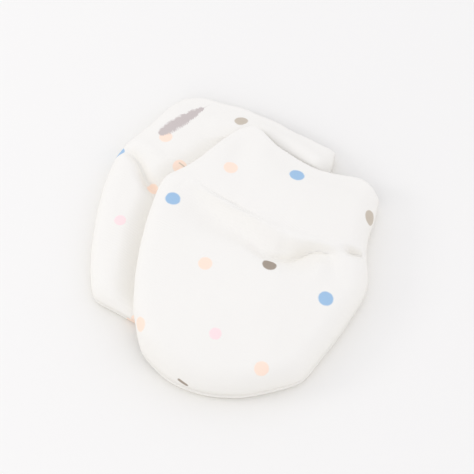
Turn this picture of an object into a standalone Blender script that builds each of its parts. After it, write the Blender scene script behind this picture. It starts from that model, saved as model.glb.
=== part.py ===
"""Pair of newborn mittens, lying flat with the second one laid across the first.

Each mitten is two panels of thin jersey sewn together along both sides and round the fingertips, and
open at the hem. A panel is a wall of even thickness whose outer face is worked out from the cut's
outline, a height along the mitten and a short table of folds. The first mitten lies on the ground,
pressed down where the second one covers it; the second one drapes over its edge down to the ground.

All sizes below are in millimetres. +X runs across the mittens, +Y from the fingertips to the open hems.
"""

import bmesh
import bpy
import numpy as np

MM = 0.001

# The cloth and how it is sewn and laid.
WALL = 1.2
SEAM_GAP = 0.3
LYING_GAP = 0.4

# Round edges beside the seam: how far they reach in from it, and how square they are (2 is an ellipse).
TOP_EDGE_REACH = 8.0
UNDER_EDGE_REACH = 5.0
TOP_EDGE_SQUARENESS = 2.1
UNDER_EDGE_SQUARENESS = 3.0

# Height of a mitten's top face above what it lies on: y along the mitten, height.
PUFF = (
    (0.0, 7.0),
    (12.0, 8.8),
    (40.0, 9.4),
    (60.0, 8.9),
    (72.0, 8.8),
    (84.0, 8.1),
    (101.0, 6.6),
)

# The first mitten's top face where the second presses on it, and how far beside it the cloth recovers.
PRESSED_HEIGHT = 7.2
PRESSED_EDGE = 9.0

# The second mitten's drape: it leaves the first one's top face this far inside the edge and reaches the
# ground over a short run below and a long one on top, where the air inside holds the cloth up.
DRAPE_START = 5.0
DRAPE_RUN_UNDER = 20.0
DRAPE_RUN_TOP = 46.0

# Edges of each mitten's outline where it lies: x across, y from the fingertips, each edge from left to right
# or from the fingertips to the hem.
EDGES = {
    "lower_mitten": {
        "fingertip": (
            (-19.4, 3.4),
            (-10.8, 3.0),
            (2.9, 2.2),
            (11.5, 2.1),
            (19.5, 4.5),
            (27.2, 9.3),
            (35.8, 18.9),
        ),
        "left": (
            (-19.4, 3.4),
            (-26.6, 14.4),
            (-33.6, 29.8),
            (-38.8, 45.0),
            (-41.2, 58.0),
            (-41.0, 65.0),
            (-39.2, 71.0),
            (-37.2, 77.0),
            (-35.6, 84.0),
            (-34.2, 90.0),
            (-31.6, 95.4),
        ),
        "right": (
            (35.8, 18.9),
            (38.6, 34.0),
            (40.6, 50.0),
            (41.0, 62.0),
            (36.6, 72.0),
            (34.9, 81.0),
            (34.6, 90.0),
            (32.4, 99.2),
        ),
        "hem": (
            (-31.6, 95.4),
            (-24.9, 97.6),
            (-14.8, 99.4),
            (-2.6, 100.6),
            (8.0, 99.9),
            (19.7, 98.8),
            (32.4, 99.2),
        ),
    },
    "upper_mitten": {
        "fingertip": (
            (-19.4, 3.4),
            (-10.8, 1.3),
            (2.9, 0.2),
            (11.5, 1.6),
            (19.5, 5.0),
            (27.6, 11.2),
            (35.8, 18.9),
        ),
        "left": (
            (-19.4, 3.4),
            (-27.7, 14.2),
            (-35.0, 29.8),
            (-40.2, 45.6),
            (-43.4, 60.0),
            (-43.8, 68.0),
            (-41.8, 74.0),
            (-38.8, 80.0),
            (-35.4, 87.0),
            (-32.6, 93.0),
            (-29.0, 99.2),
        ),
        "right": (
            (35.8, 18.9),
            (38.6, 33.0),
            (40.8, 48.0),
            (41.4, 62.0),
            (36.4, 72.4),
            (33.4, 80.0),
            (32.2, 89.0),
            (30.2, 97.6),
        ),
        "hem": (
            (-29.0, 99.2),
            (-25.4, 100.6),
            (-21.0, 99.6),
            (-13.0, 96.9),
            (-4.0, 95.2),
            (4.0, 94.6),
            (12.0, 96.4),
            (19.0, 98.4),
            (25.0, 98.9),
            (30.2, 97.6),
        ),
    },
}

# Where each mitten's outline lies before the pair is centred, and the height of its seam above its base.
PLACES = {
    "lower_mitten": {"x": -16.0, "y": -48.5, "seam": 3.0},
    "upper_mitten": {"x": 10.0, "y": -59.7, "seam": 4.0},
}

# The seam's line runs on this far past the hem, so that the edges stay round right up to the open end.
OPEN_END = 40.0

# How far each corner of the seam's line is eased.
CORNER_RUN = 2.5

# Folds in the top panels, each along a line through its rows: x, y, half width and height, which is
# below 0 for a trough.
UPPER_FOLDS = {
    "wrist_crest": (
        (-43.0, 66.5, 3.0, 0.3),
        (-28.7, 66.0, 3.0, 1.0),
        (-18.0, 63.6, 3.0, 1.5),
        (-6.4, 62.6, 3.0, 1.6),
        (8.5, 63.2, 3.0, 1.6),
        (17.8, 65.0, 2.4, 1.5),
        (24.3, 67.2, 2.2, 1.0),
        (36.0, 72.0, 2.4, 0.5),
    ),
    "wrist_trough": (
        (-33.0, 59.8, 4.0, -0.4),
        (-24.0, 57.6, 4.8, -1.5),
        (-18.9, 55.5, 5.2, -2.0),
        (-6.9, 52.8, 4.8, -2.0),
        (3.4, 52.6, 4.2, -2.0),
        (8.4, 52.8, 4.0, -2.2),
        (13.6, 54.4, 3.8, -2.5),
        (17.5, 57.8, 3.4, -2.7),
        (21.5, 61.0, 2.8, -2.2),
        (25.0, 62.8, 2.4, -1.2),
        (28.5, 64.5, 2.0, -0.2),
    ),
    "wrist_pit": (
        (27.8, 67.9, 1.4, -0.4),
        (31.6, 69.3, 1.6, -2.2),
        (36.0, 70.9, 1.6, -1.5),
    ),
    "cuff_hollow": (
        (-27.5, 97.5, 5.0, -0.9),
        (-22.5, 87.5, 5.5, -1.3),
        (-18.5, 77.0, 4.0, -0.4),
    ),
    "side_fold": (
        (27.0, 61.5, 2.6, -0.9),
        (33.0, 54.0, 3.2, -0.2),
    ),
}
LOWER_FOLDS = {
    "wrist_crease": (
        (-42.0, 63.0, 2.2, -0.9),
        (-34.6, 61.4, 2.2, -1.6),
        (-30.0, 58.8, 2.4, -1.9),
        (-25.5, 54.8, 2.8, -2.4),
        (-20.0, 52.4, 3.2, -2.4),
        (-14.0, 50.0, 3.0, -0.8),
    ),
    "wrist_crest": (
        (-42.0, 68.5, 3.2, 0.3),
        (-28.0, 65.5, 3.2, 0.9),
        (-20.0, 61.5, 3.2, 0.5),
    ),
}

# Faces across and along each panel, closer together beside the seams.
TOP_FACES = (26, 28)
UNDER_FACES = (20, 22)
EDGE_CROWDING = 0.86

COTTON = (0.93, 0.92, 0.90, 1.0)

# Step for measuring which way is inwards from the seam.
SLOPE_STEP = 0.05


def smooth_step(value):
    """0 below 0, 1 above 1 and a soft run between."""
    t = np.clip(value, 0.0, 1.0)
    return t * t * (3.0 - 2.0 * t)


def smooth_line(rows, steps=14):
    """The rows as a dense polyline of a smooth curve that passes through every row (Catmull-Rom)."""
    rows = np.array(rows, float)
    first = 2.0 * rows[0] - rows[1]
    last = 2.0 * rows[-1] - rows[-2]
    padded = np.vstack([first, rows, last])
    t = np.linspace(0.0, 1.0, steps, endpoint=False)[:, None]
    pieces = []
    for a, b, c, d in zip(padded, padded[1:], padded[2:], padded[3:]):
        pieces.append(0.5 * (2 * b + (c - a) * t + (2 * a - 5 * b + 4 * c - d) * t**2
                             + (3 * b - a - 3 * c + d) * t**3))
    return np.vstack(pieces + [rows[-1:]])


def at_share(line, shares):
    """Points at the given shares of a polyline's length."""
    steps = np.hypot(*np.diff(line, axis=0).T)
    length = np.concatenate([[0.0], np.cumsum(steps)])
    wanted = np.asarray(shares) * length[-1]
    return np.stack([np.interp(wanted, length, line[:, 0]), np.interp(wanted, length, line[:, 1])], axis=-1)


def eased(line, run, spacing=0.5):
    """A polyline with even steps and its corners eased over about the given run, its two ends kept."""
    count = max(int(np.hypot(*np.diff(line, axis=0).T).sum() / spacing), 8)
    even = at_share(line, np.linspace(0.0, 1.0, count + 1))
    reach = int(3.0 * run / spacing)
    before, after = 2.0 * even[:1] - even[reach:0:-1], 2.0 * even[-1:] - even[-2:-reach - 2:-1]
    padded = np.vstack([before, even, after])
    weight = np.exp(-0.5 * (np.arange(-reach, reach + 1) * spacing / run) ** 2)
    weight /= weight.sum()
    return np.column_stack([np.convolve(padded[:, axis], weight, mode="valid") for axis in (0, 1)])


def seam_round(edges):
    """The seam's line from one end of the hem round the fingertips to the other, and its three stretches."""
    sharp = np.vstack([edges["left"][::-1], edges["fingertip"][1:], edges["right"][1:]])
    seam = eased(sharp, CORNER_RUN)
    first, last = (np.hypot(*(seam - edges["fingertip"][end]).T).argmin() for end in (0, -1))
    return seam, seam[first::-1], seam[first:last + 1], seam[last:]


def nearest_on(line, points):
    """Distance from each point to a polyline, and the row position along it of the nearest point."""
    best = np.full(len(points), np.inf)
    where = np.zeros(len(points))
    for index in range(len(line) - 1):
        start = line[index, :2]
        run = line[index + 1, :2] - start
        t = np.clip(((points - start) @ run) / max(run @ run, 1e-9), 0.0, 1.0)
        distance = np.hypot(*(points - start - t[:, None] * run).T)
        closer = distance < best
        best[closer] = distance[closer]
        where[closer] = index + t[closer]
    return best, where


def signed_distance(outline, points):
    """Distance to a closed outline, above 0 inside it."""
    distance, _ = nearest_on(outline, points)
    inside = np.zeros(len(points), bool)
    for (ax, ay), (bx, by) in zip(outline[:-1], outline[1:]):
        crosses = (ay > points[:, 1]) != (by > points[:, 1])
        x_there = ax + (points[:, 1] - ay) * (bx - ax) / np.where(by == ay, 1e-9, by - ay)
        inside ^= crosses & (points[:, 0] < x_there)
    return np.where(inside, distance, -distance)


def rounded(share, squareness):
    """Rise of a round edge: 0 at the seam, where it is upright, and 1 from its full reach on."""
    t = np.clip(share, 0.0, 1.0)
    return (1.0 - (1.0 - t) ** squareness) ** (1.0 / squareness)


def fold_height(folds, points):
    """Height that a table of folds adds at each point, faded out past the ends of each fold."""
    total = np.zeros(len(points))
    for rows in folds.values():
        line = smooth_line(rows, steps=8)
        distance, where = nearest_on(line, points)
        position = np.arange(len(line))
        width = np.interp(where, position, line[:, 2])
        height = np.interp(where, position, line[:, 3])
        total += height * np.exp(-((distance / width) ** 2))
    return total


class Mitten:
    """One mitten: its edges where it lies, and the faces of its two panels."""

    def __init__(self, name, folds):
        place = PLACES[name]
        self.name = name
        self.folds = folds
        self.origin = np.array([place["x"], place["y"]])
        self.seam = place["seam"]
        edges = {edge: smooth_line(rows) + self.origin for edge, rows in EDGES[name].items()}
        seam, self.left, self.fingertip, self.right = seam_round(edges)
        self.hem = edges["hem"]
        self.outline = np.vstack([seam, self.hem[::-1]])
        beyond_hem = np.array([0.0, OPEN_END])
        self.bag = np.vstack([seam[:1] + beyond_hem, seam, seam[-1:] + beyond_hem, seam[:1] + beyond_hem])

    def plan(self, across, along):
        """Grid of ground positions that fills the four edges (a Coons patch), along x across."""
        u = crowded(across, both_ends=True)[None, :, None]
        v = crowded(along, both_ends=False)[:, None, None]
        tip, hem = at_share(self.fingertip, u[0, :, 0])[None], at_share(self.hem, u[0, :, 0])[None]
        left, right = at_share(self.left, v[:, 0, 0])[:, None], at_share(self.right, v[:, 0, 0])[:, None]
        corners = ((1 - u) * (1 - v) * tip[:, :1] + u * (1 - v) * tip[:, -1:]
                   + (1 - u) * v * hem[:, :1] + u * v * hem[:, -1:])
        return ((1 - v) * tip + v * hem + (1 - u) * left + u * right - corners).reshape(-1, 2)

    def puff(self, points):
        """Height of the top face above what the mitten lies on, folds left out."""
        rows = smooth_line(PUFF, steps=8)
        return np.interp(points[:, 1] - self.origin[1], rows[:, 0], rows[:, 1])


def crowded(faces, both_ends):
    """Shares from 0 to 1 that crowd together at 0, and at 1 too if both_ends."""
    even = np.linspace(0.0, 1.0, faces + 1)
    if both_ends:
        close = 0.5 - 0.5 * np.cos(np.pi * even)
    else:
        close = 1.0 - np.cos(0.5 * np.pi * even)
    return EDGE_CROWDING * close + (1.0 - EDGE_CROWDING) * even


def lower_levels(mitten, cover, points):
    """Base and top of the first mitten: on the ground, and pressed down beneath the second one."""
    pressed = smooth_step(1.0 + signed_distance(cover.outline, points) / PRESSED_EDGE)
    free = mitten.puff(points) + fold_height(mitten.folds, points - mitten.origin)
    return np.zeros(len(points)), free + (PRESSED_HEIGHT - free) * pressed


def upper_levels(mitten, support, points):
    """Base and top of the second mitten, which drapes over the first one's edge to the ground."""
    beyond = DRAPE_START - signed_distance(support.outline, points)
    carried = PRESSED_HEIGHT + LYING_GAP
    base = carried * (1.0 - smooth_step(beyond / DRAPE_RUN_UNDER))
    lift = carried * (1.0 - smooth_step(beyond / DRAPE_RUN_TOP))
    return base, lift + mitten.puff(points) + fold_height(mitten.folds, points - mitten.origin)


def wall_faces(mitten, levels, points, side):
    """Outer and inner face of one panel, as points. side is 1 for the top panel, -1 for the under one."""
    reach = TOP_EDGE_REACH if side > 0 else UNDER_EDGE_REACH
    squareness = TOP_EDGE_SQUARENESS if side > 0 else UNDER_EDGE_SQUARENESS
    distance = np.maximum(signed_distance(mitten.bag, points), 0.0)
    slope = np.stack([
        signed_distance(mitten.bag, points + step) - signed_distance(mitten.bag, points - step)
        for step in SLOPE_STEP * np.eye(2)
    ], axis=-1)
    inward = slope / np.maximum(np.hypot(*slope.T), 1e-9)[:, None]
    settled = smooth_step(distance / reach)
    inner_points = points + WALL * ((1.0 - settled) * np.exp(-distance / reach))[:, None] * inward

    faces = []
    for ground, inset, used in ((points, 0.0, distance), (inner_points, WALL, distance - WALL * settled)):
        base, top = levels(ground)
        seam = base + mitten.seam + side * 0.5 * SEAM_GAP
        far = top - inset if side > 0 else base + inset
        z = seam + (far - seam) * rounded(used / (reach - inset), squareness)
        faces.append(np.column_stack([ground, z]))
    return faces


def panel_object(name, outer, inner, side, faces, colour):
    """A closed wall: a grid extruded to a flat slab, its old layer then shaped as the outer face."""
    across, along = faces
    bm = bmesh.new()
    bmesh.ops.create_grid(bm, x_segments=across, y_segments=along, size=1.0)
    outer_layer = set(bm.verts)
    bmesh.ops.extrude_face_region(bm, geom=bm.faces[:], use_keep_orig=True)
    for vert in outer_layer:
        vert.co.z = side
    bmesh.ops.recalc_face_normals(bm, faces=bm.faces[:])
    for vert in bm.verts:
        column = round((vert.co.x + 1.0) * 0.5 * across)
        row = round((vert.co.y + 1.0) * 0.5 * along)
        face = outer if vert in outer_layer else inner
        vert.co = face[row * (across + 1) + column] * MM
    mesh = bpy.data.meshes.new(name)
    bm.to_mesh(mesh)
    bm.free()
    mesh.shade_smooth()

    material = bpy.data.materials.new(name + "_jersey")
    material.use_nodes = True
    shader = material.node_tree.nodes["Principled BSDF"]
    shader.inputs["Base Color"].default_value = colour
    shader.inputs["Roughness"].default_value = 0.9
    mesh.materials.append(material)
    return bpy.data.objects.new(name, mesh)


def main():
    for old in list(bpy.data.objects):
        bpy.data.objects.remove(old)
    pair = bpy.data.collections.new("pair_of_baby_mittens")
    bpy.context.scene.collection.children.link(pair)

    lower = Mitten("lower_mitten", LOWER_FOLDS)
    upper = Mitten("upper_mitten", UPPER_FOLDS)
    both = np.vstack([lower.outline, upper.outline])
    centre = np.append((both.min(axis=0) + both.max(axis=0)) / 2.0, 0.0)

    for mitten, levels in (
        (lower, lambda points: lower_levels(lower, upper, points)),
        (upper, lambda points: upper_levels(upper, lower, points)),
    ):
        for part, side, faces in (("top_panel", 1, TOP_FACES), ("under_panel", -1, UNDER_FACES)):
            outer, inner = wall_faces(mitten, levels, mitten.plan(*faces), side)
            name = mitten.name + "_" + part
            pair.objects.link(panel_object(name, outer - centre, inner - centre, side, faces, COTTON))


main()
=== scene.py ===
"""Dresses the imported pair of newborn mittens: soft jersey panels, printed dots, and a plain studio stage.

Each panel is a thin shell on its solid's form. It is worked out as the part is, from an outline, heights and
folds in millimetres, which are softer here and joined by finer creases, gathers and puckers. +X runs across
the mittens and +Y from the fingertips to the open hems.
"""

import math

import bmesh
import bpy
import numpy as np
from bpy.props import FloatProperty, FloatVectorProperty, PointerProperty
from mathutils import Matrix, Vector


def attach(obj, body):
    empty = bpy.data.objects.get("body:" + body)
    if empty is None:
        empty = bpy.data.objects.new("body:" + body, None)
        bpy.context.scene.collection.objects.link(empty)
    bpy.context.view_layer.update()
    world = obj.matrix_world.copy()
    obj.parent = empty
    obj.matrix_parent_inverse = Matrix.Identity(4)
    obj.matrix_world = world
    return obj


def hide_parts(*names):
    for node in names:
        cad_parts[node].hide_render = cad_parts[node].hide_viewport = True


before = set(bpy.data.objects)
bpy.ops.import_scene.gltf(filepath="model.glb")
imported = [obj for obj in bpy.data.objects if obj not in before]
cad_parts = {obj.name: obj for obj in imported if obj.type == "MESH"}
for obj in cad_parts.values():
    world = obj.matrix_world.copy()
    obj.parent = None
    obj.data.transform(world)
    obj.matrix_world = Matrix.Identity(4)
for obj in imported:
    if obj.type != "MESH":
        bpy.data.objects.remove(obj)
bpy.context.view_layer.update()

bl_info = {
    "name": "Newborn mittens",
    "version": (1, 0, 0),
    "blender": (4, 5, 0),
    "location": "View3D > Sidebar > Mittens",
    "description": "Models a pair of dotted jersey mittens on a studio stage",
    "category": "Object",
}

MM = 0.001

# ---------------------------------------------------------------------------------------------------------
# The cut and the lie of the mittens, in millimetres, laid out as the part is
# ---------------------------------------------------------------------------------------------------------

# The gap between the second mitten and the first one that it lies on.
LYING_GAP = 0.4

# Round edges beside the seam: how far they reach in from it, and how square they are (2 is an ellipse).
TOP_EDGE_REACH = 7.0
UNDER_EDGE_REACH = 5.0
TOP_EDGE_SQUARENESS = 2.3
UNDER_EDGE_SQUARENESS = 3.0

# Height of a mitten's top face above what it lies on: y along the mitten, height.
PUFF = (
    (0.0, 8.0),
    (12.0, 9.7),
    (40.0, 9.6),
    (60.0, 8.9),
    (72.0, 8.8),
    (84.0, 8.1),
    (101.0, 6.6),
)

# The first mitten's top face where the second presses on it, and how far beside it the cloth recovers: a
# long way beside the body and a short one past the hem. The change starts at this y along the second one.
PRESSED_HEIGHT = 7.2
PRESSED_EDGE = 9.0
PRESSED_EDGE_AT_HEM = 1.8
PRESSED_HEM_FROM = 90.0
PRESSED_HEM_RUN = 8.0

# How much of a crease's depth stays where the first mitten is pressed down.
CREASE_UNDER_COVER = 0.5

# The second mitten's drape: it leaves the first one's top face this far inside the edge and reaches the
# ground over a short run below and a long one on top, where the air inside holds the cloth up.
DRAPE_START = 5.0
DRAPE_RUN_UNDER = 20.0
DRAPE_RUN_TOP = 56.0

# Edges of each mitten's outline where it lies: x across, y from the fingertips. Each edge runs from left to
# right or from the fingertips to the hem.
EDGES = {
    "lower_mitten": {
        "fingertip": (
            (-19.4, 3.4),
            (-10.8, 3.0),
            (2.9, 2.2),
            (11.5, 2.1),
            (19.5, 4.5),
            (27.2, 9.3),
            (35.8, 18.9),
        ),
        "left": (
            (-19.4, 3.4),
            (-26.6, 14.4),
            (-33.6, 29.8),
            (-38.8, 45.0),
            (-41.2, 58.0),
            (-41.0, 65.0),
            (-39.2, 71.0),
            (-37.2, 77.0),
            (-35.6, 84.0),
            (-34.2, 90.0),
            (-31.6, 95.4),
        ),
        "right": (
            (35.8, 18.9),
            (38.6, 34.0),
            (40.6, 50.0),
            (41.0, 62.0),
            (36.6, 72.0),
            (34.9, 81.0),
            (34.6, 90.0),
            (32.4, 99.2),
        ),
        "hem": (
            (-31.6, 95.4),
            (-24.9, 97.6),
            (-14.8, 99.4),
            (-2.6, 100.6),
            (8.0, 99.9),
            (19.7, 98.8),
            (32.4, 99.2),
        ),
    },
    "upper_mitten": {
        "fingertip": (
            (-19.4, 3.4),
            (-12.5, 0.7),
            (-4.7, -1.2),
            (3.1, -0.9),
            (11.7, 1.2),
            (19.5, 5.0),
            (27.6, 11.2),
            (35.8, 18.9),
        ),
        "left": (
            (-19.4, 3.4),
            (-27.7, 14.2),
            (-35.0, 29.8),
            (-40.2, 45.6),
            (-43.4, 60.0),
            (-43.6, 67.2),
            (-40.0, 72.6),
            (-36.7, 79.0),
            (-34.2, 86.6),
            (-31.8, 93.0),
            (-29.0, 99.2),
        ),
        "right": (
            (35.8, 18.9),
            (38.6, 33.0),
            (40.8, 48.0),
            (41.4, 62.0),
            (36.4, 72.4),
            (33.4, 80.0),
            (32.2, 89.0),
            (30.2, 97.6),
        ),
        "hem": (
            (-29.0, 99.2),
            (-25.4, 100.6),
            (-21.0, 99.6),
            (-13.0, 96.9),
            (-4.0, 95.2),
            (4.0, 94.6),
            (12.0, 96.4),
            (19.0, 98.4),
            (25.0, 98.9),
            (30.2, 97.6),
        ),
    },
}

# Where each mitten's outline lies before the pair is centred, and the height of its seam above its base.
PLACES = {
    "lower_mitten": {"x": -16.0, "y": -48.5, "seam": 3.0},
    "upper_mitten": {"x": 10.0, "y": -59.7, "seam": 4.0},
}

# How far the middle of each hem runs out past its cut, because it lies flatter there than at its ends, and
# the share of the hem over which it does so.
HEM_REACH = {"lower_mitten": 1.0, "upper_mitten": 2.0}
HEM_REACH_EASE = 0.2

# How far past the hem the sides are taken to run on, so that nothing is rounded off at the open end.
OPEN_END = 40.0

# How far each corner of the seam's line is eased.
CORNER_RUN = 2.5

# The large folds, and the finer creases that run beside them: x, y, half width (or the half widths on the
# hem's side and on the fingertips' side) and height, which is below 0 for a trough.
UPPER_FOLDS = {
    "wrist_crest": (
        (-43.0, 67.0, 3.0, 0.3),
        (-28.7, 67.4, 2.6, 0.6),
        (-18.0, 65.4, 2.4, 0.8),
        (-6.4, 64.0, 2.6, 0.9),
        (8.5, 63.4, 3.0, 1.3),
        (17.8, 65.0, 2.4, 1.4),
        (24.3, 67.2, 2.2, 1.0),
        (36.0, 72.0, 2.4, 0.5),
    ),
    "wrist_trough": (
        (-34.5, 62.5, 4.5, 5.0, -0.6),
        (-29.5, 61.8, 5.0, 6.0, -1.6),
        (-25.0, 60.6, 5.4, 6.4, -2.4),
        (-21.0, 59.4, 5.6, 6.4, -2.8),
        (-17.0, 58.4, 5.8, 6.2, -3.0),
        (-12.5, 57.8, 5.8, 5.8, -3.0),
        (-8.1, 57.4, 5.6, 5.2, -3.0),
        (-3.5, 56.6, 5.2, 4.4, -3.1),
        (1.2, 55.5, 5.0, 3.9, -3.3),
        (6.4, 55.2, 5.0, 4.8, -3.7),
        (9.7, 56.6, 4.6, 6.0, -4.1),
        (13.0, 58.2, 3.6, 6.6, -4.4),
        (15.3, 60.2, 2.6, 6.6, -4.4),
        (18.0, 62.7, 1.7, 6.2, -3.9),
        (21.2, 64.2, 1.3, 5.4, -3.0),
        (24.9, 65.0, 1.2, 4.0, -1.6),
        (28.0, 65.8, 1.4, 3.0, -0.3),
    ),
    "wrist_pit": (
        (27.8, 67.9, 1.4, -0.4),
        (31.6, 69.3, 1.7, -2.7),
        (36.0, 70.9, 1.7, -1.8),
    ),
    "cuff_hollow": (
        (-27.5, 97.5, 5.0, -0.9),
        (-22.5, 87.5, 5.5, -1.3),
        (-18.5, 77.0, 4.0, -0.4),
    ),
    "side_fold": (
        (27.0, 61.5, 2.6, -0.9),
        (33.0, 54.0, 3.2, -0.2),
    ),
}
LOWER_FOLDS = {
    "wrist_crease": (
        (-42.0, 63.0, 2.2, -0.9),
        (-34.6, 61.4, 2.2, -1.6),
        (-30.0, 58.8, 2.4, -1.9),
        (-25.5, 54.8, 2.8, -2.4),
        (-20.0, 52.4, 3.2, -2.4),
        (-14.0, 50.0, 3.0, -0.8),
    ),
    "wrist_crest": (
        (-42.0, 68.5, 3.2, 0.3),
        (-28.0, 65.5, 3.2, 0.9),
        (-20.0, 61.5, 3.2, 0.5),
    ),
}
UPPER_CREASES = {
    "hem_sag": (
        (-33.0, 100.0, 8.0, -0.3),
        (-25.0, 101.5, 8.0, -0.6),
        (-17.0, 100.0, 8.0, -1.6),
        (-9.0, 99.0, 8.5, -2.8),
        (4.0, 97.5, 9.0, -3.4),
        (18.0, 100.5, 9.0, -3.3),
        (25.0, 100.5, 8.0, -2.4),
        (33.0, 100.0, 8.0, -1.4),
    ),
    "line_above_crest": (
        (-33.0, 69.8, 0.8, -0.1),
        (-28.0, 68.5, 0.7, -0.3),
        (-22.0, 67.4, 0.6, -0.5),
        (-16.0, 66.8, 0.6, -0.6),
        (-11.3, 66.0, 0.6, -0.5),
        (-5.5, 65.8, 0.7, -0.25),
        (-1.0, 65.6, 0.8, -0.05),
    ),
    "crest_edge": (
        (-32.0, 67.9, 0.8, 0.3),
        (-25.3, 66.7, 0.8, 0.6),
        (-18.0, 65.4, 0.8, 0.9),
        (-10.4, 64.6, 0.8, 0.9),
        (-2.3, 63.8, 0.8, 0.7),
        (6.0, 63.4, 1.2, 0.3),
    ),
    "tuck": (
        (-2.0, 54.4, 1.6, -0.2),
        (2.9, 53.2, 1.5, -0.8),
        (6.5, 53.8, 1.4, -1.4),
        (9.6, 55.4, 1.3, -1.8),
        (12.8, 57.2, 1.1, -1.8),
        (15.3, 60.2, 0.9, -1.7),
        (18.0, 62.9, 0.6, -1.6),
        (21.2, 64.5, 0.6, -1.5),
        (24.0, 65.0, 0.6, -0.8),
        (26.5, 65.2, 0.6, -0.1),
    ),
    "side_tuck": (
        (28.6, 68.8, 0.8, -0.3),
        (31.2, 69.9, 0.7, -2.0),
        (34.2, 71.0, 0.7, -1.7),
    ),
}
LOWER_CREASES = {
    "hem_sag": (
        (-33.0, 97.0, 8.0, -1.4),
        (-25.0, 99.5, 8.0, -1.6),
        (-15.0, 101.0, 8.0, -1.5),
        (0.0, 102.0, 7.0, -1.3),
        (20.0, 100.5, 7.0, -1.2),
        (33.0, 100.5, 7.0, -1.0),
    ),
    "cuff_rise": (
        (-16.0, 88.0, 5.0, 0.2),
        (0.0, 93.5, 5.0, 1.9),
        (14.0, 93.0, 5.5, 2.7),
        (28.0, 91.0, 5.5, 2.6),
    ),
    "crease_line": (
        (-39.5, 62.6, 1.0, -0.3),
        (-36.0, 62.0, 1.0, -0.9),
        (-32.0, 60.4, 1.0, -1.2),
        (-28.5, 57.6, 1.2, -1.6),
        (-24.5, 54.2, 1.8, -2.2),
        (-21.0, 52.4, 2.2, -2.4),
        (-16.0, 50.5, 2.2, -1.0),
    ),
}

# The line that the elastic draws in round the wrist, which the gathers cross: x, y.
WRIST_LINE = ((-43.0, 67.0), (-20.0, 65.5), (0.0, 63.0), (20.0, 65.5), (38.0, 70.0))

# Gathers on each panel: how many, and their share of the full depth.
TOP_GATHERS = (13, 0.2)
UNDER_GATHERS = (17, 1.0)

# The limits between which a gather is drawn: its place in its own share of the line, its lean, how far it
# runs down and up from the line, its half width and its share of the depth. Then how much wider its ends are.
GATHER_LIMITS = {
    "place": (0.15, 0.85),
    "lean": (-0.25, 0.25),
    "down": (5.0, 11.0),
    "up": (3.0, 8.0),
    "width": (0.9, 1.7),
    "depth": (0.4, 1.0),
}
GATHER_SPREAD_DOWN = 1.5
GATHER_SPREAD_UP = 1.4

# Soft unevenness, as its size and its wavelength: in the height of each face and of the seam, and sideways
# along the hem and along the other edges, eased out over this share of an edge's length.
FACE_WAVES = ((0.16, 26.0), (0.05, 9.0))
SEAM_WAVES = (0.12, 6.0)
HEM_WAVER = (0.3, 16.0)
SIDE_WAVER = (0.1, 9.0)
WAVER_EASE = 0.05

# What is added to a mitten's own seed for each kind of draw.
FACE_SEED = 5
SEAM_SEED = 9
GATHER_SEED = 20

# The share of its gathers' height that an under panel takes on, because what it lies on holds it flat.
UNDER_RELIEF = 0.35

# How finely each panel is divided: faces across and along. Then how far they crowd together at the edges.
TOP_FACES = (180, 200)
UNDER_FACES = (110, 120)
EDGE_CROWDING = 0.60

# The seam's soft groove: how far in each lip runs and how far it stays from the seam's middle.
SEAM_LIPS = ((0.35, 0.22), (0.95, 0.03))
SEAM_LIP_HEIGHT = 0.45

# The turned hem, as steps past its edge: how far out along the panel and how far below the outer face.
HEM_TURN = (
    (0.35, 0.25),
    (0.45, 0.65),
    (0.30, 1.05),
    (-0.4, 1.25),
    (-2.5, 1.28),
    (-5.0, 1.28),
    (-8.5, 1.30),
)

# ---------------------------------------------------------------------------------------------------------
# The print: x, y on the lying mitten, the ink and the width, in millimetres
# ---------------------------------------------------------------------------------------------------------

INKS = {
    "blue": "#A3C4E0",
    "peach": "#FFE6D2",
    "pink": "#FFE3E2",
    "taupe": "#A6998A",
    "sand": "#CCC1B0",
}
UPPER_TOP_DOTS = (
    (-23.1, 80.3, "peach", 5.3),
    (-0.2, 89.4, "blue", 5.6),
    (30.9, 87.2, "sand", 5.8),
    (-35.5, 58.3, "blue", 5.5),
    (-12.2, 39.3, "peach", 5.0),
    (8.0, 49.7, "taupe", 5.2),
    (31.2, 47.4, "blue", 5.4),
    (3.6, 16.7, "pink", 4.2),
    (23.0, 13.4, "peach", 5.1),
    (-22.0, 9.1, "peach", 5.2),
)
LOWER_TOP_DOTS = (
    (-27.6, 74.2, "peach", 5.0),
    (-16.6, 65.0, "peach", 5.4),
    (-5.5, 94.3, "sand", 5.2),
    (-41.1, 61.1, "blue", 5.6),
    (-24.4, 33.5, "pink", 4.2),
    (-21.8, 53.0, "peach", 4.8),
    (-0.3, -0.6, "peach", 4.4),
    (2.0, 72.0, "blue", 5.4),
    (20.0, 84.0, "pink", 4.4),
    (26.0, 60.0, "peach", 5.0),
    (2.0, 48.0, "taupe", 5.0),
    (22.0, 36.0, "blue", 5.4),
    (-4.0, 24.0, "peach", 5.0),
)
UPPER_UNDER_DOTS = (
    (6.0, 23.0, "taupe", 5.0),
    (-25.0, 88.0, "blue", 5.5),
    (-4.0, 80.0, "pink", 4.4),
    (19.0, 90.0, "peach", 5.1),
    (-34.0, 66.0, "peach", 5.0),
    (-12.0, 58.0, "taupe", 5.2),
    (14.0, 62.0, "peach", 4.8),
    (32.0, 52.0, "pink", 4.3),
    (-24.0, 36.0, "blue", 5.4),
    (2.0, 38.0, "peach", 5.2),
    (24.0, 30.0, "taupe", 5.0),
    (-10.0, 16.0, "pink", 4.4),
    (16.0, 12.0, "blue", 5.5),
)
LOWER_UNDER_DOTS = (*((-x, *rest) for x, *rest in UPPER_UNDER_DOTS[1:]), (-3.0, 3.0, "peach", 4.6))

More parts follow.
